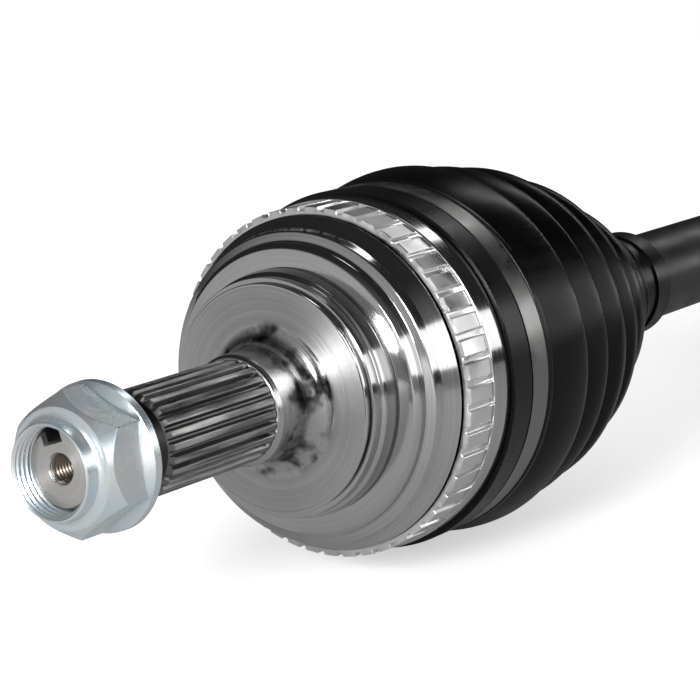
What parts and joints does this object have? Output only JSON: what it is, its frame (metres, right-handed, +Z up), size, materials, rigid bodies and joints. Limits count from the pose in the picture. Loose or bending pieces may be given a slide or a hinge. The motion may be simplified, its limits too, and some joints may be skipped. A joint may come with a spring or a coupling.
{
  "type": "drive shaft",
  "caption": "Front half shaft: threaded and splined stub with nut, ball joint in a stepped bell with toothed ring, ribbed boots, black bar, tripod joint and splined inner stub.",
  "frame": {"origin": "centre of the outer joint's flat front face, on the shaft's axis, where the wheel hub seats", "axes": "+X along the shaft from the wheel to the gearbox, +Z up along the upper trunnion of the inner joint, +Y to the left of that"},
  "size_m": [0.6302, 0.0996, 0.0996],
  "materials": {
    "zinc": "zinc plated, satin",
    "machined_steel": "turned, oiled",
    "ring_steel": "milled",
    "ground_steel": "hardened and ground",
    "spring_steel": "blackened",
    "band_steel": "rolled stainless",
    "boot_rubber": "satin",
    "bar_paint": "gloss black"
  },
  "bodies": {
    "bell": {"outer_race": "machined_steel", "abs_ring": "ring_steel", "outer_boot_clamp": "band_steel"},
    "nut": {"axle_nut": "zinc"},
    "cage_and_balls": {"cage": "ground_steel", "balls": "ground_steel"},
    "shaft": {"axle_bar": "bar_paint", "inner_race": "ground_steel", "race_circlip": "spring_steel", "spider": "ground_steel", "spider_circlip": "spring_steel", "outer_boot": "boot_rubber", "inner_boot": "boot_rubber", "outer_boot_small_clamp": "band_steel", "inner_boot_small_clamp": "band_steel"},
    "top_carrier": {"roller_hub_top": "ground_steel", "needles_top": "ground_steel", "retainers_top": "ground_steel"},
    "left_carrier": {"roller_hub_left": "ground_steel", "needles_left": "ground_steel", "retainers_left": "ground_steel"},
    "right_carrier": {"roller_hub_right": "ground_steel", "needles_right": "ground_steel", "retainers_right": "ground_steel"},
    "top_roller": {"outer_roller_top": "ground_steel"},
    "left_roller": {"outer_roller_left": "ground_steel"},
    "right_roller": {"outer_roller_right": "ground_steel"},
    "housing": {"inner_housing": "machined_steel", "stop_ring": "spring_steel", "inner_boot_clamp": "band_steel", "stub_circlip": "spring_steel"}
  },
  "joints": [
    {"name": "outer_bend", "type": "hinge", "parent": "bell", "child": "shaft", "pos_m": [0.034, 0, 0], "axis": [0, 0, 1], "range_deg": [-40, 40], "deforming": ["outer_boot"]},
    {"name": "cage_half_bend", "type": "hinge", "parent": "bell", "child": "cage_and_balls", "pos_m": [0.034, 0, 0], "axis": [0, 0, 1], "range_deg": [-20, 20]},
    {"name": "nut_off", "type": "slide", "parent": "bell", "child": "nut", "axis": [-1, 0, 0], "range_m": [0, 0.11]},
    {"name": "inner_bend", "type": "hinge", "parent": "shaft", "child": "top_carrier", "pos_m": [0.43, 0, 0], "axis": [0, 0, 1], "range_deg": [-18, 18], "deforming": ["inner_boot"]},
    {"name": "plunge", "type": "slide", "parent": "top_carrier", "child": "housing", "axis": [1, 0, 0], "range_m": [-0.012, 0.014], "deforming": ["inner_boot"]},
    {"name": "left_shift", "type": "slide", "parent": "top_carrier", "child": "left_carrier", "axis": [1, 0, 0], "range_m": [-0.007, 0.007]},
    {"name": "right_shift", "type": "slide", "parent": "top_carrier", "child": "right_carrier", "axis": [1, 0, 0], "range_m": [-0.007, 0.007]},
    {"name": "top_spin", "type": "hinge", "parent": "top_carrier", "child": "top_roller", "pos_m": [0.43, 0, 0.024], "axis": [0, 0, 1], "range_deg": [-70, 70]},
    {"name": "left_spin", "type": "hinge", "parent": "left_carrier", "child": "left_roller", "pos_m": [0.43, -0.02079, -0.012], "axis": [0, -0.866, -0.5], "range_deg": [-70, 70]},
    {"name": "right_spin", "type": "hinge", "parent": "right_carrier", "child": "right_roller", "pos_m": [0.43, 0.02079, -0.012], "axis": [0, 0.866, -0.5], "range_deg": [-70, 70]}
  ],
  "couplings": [
    {"joint": "cage_half_bend", "follows": "outer_bend", "ratio": 0.5},
    {"joint": "left_shift", "follows": "inner_bend", "m_per_rad": -0.020444},
    {"joint": "right_shift", "follows": "inner_bend", "m_per_rad": 0.020444},
    {"joint": "top_spin", "follows": "plunge", "rad_per_m": 58.824},
    {"joint": "left_spin", "follows": "plunge", "rad_per_m": 58.824},
    {"joint": "right_spin", "follows": "plunge", "rad_per_m": 58.824}
  ]
}
